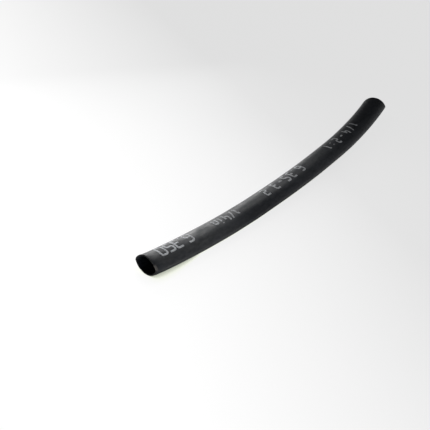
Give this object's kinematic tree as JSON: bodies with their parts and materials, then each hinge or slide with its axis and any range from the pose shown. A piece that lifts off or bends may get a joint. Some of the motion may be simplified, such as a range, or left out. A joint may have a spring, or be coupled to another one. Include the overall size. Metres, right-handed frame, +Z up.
{
  "type": "heat shrink tube",
  "caption": "Black heat shrink tube, a cut piece that slides over wires and shrinks with heat; open at both ends, pressed slightly flat and gently bowed by its reel.",
  "frame": {"origin": "on the floor, under the middle of the tube's bounding box", "axes": "+Z up. +X runs along the tube from its near end to its far end; it is the bore's own direction 50 mm inside the near end. The tube bows in the floor's plane, towards +Y at both ends."},
  "size_m": [0.1528, 0.0224, 0.0064],
  "materials": {
    "black_polyolefin": "satin black cross-linked polyolefin, smooth, with a soft sheen along the top"
  },
  "bodies": {
    "root": {"heat_shrink_tube": "black_polyolefin"}
  },
  "joints": []
}
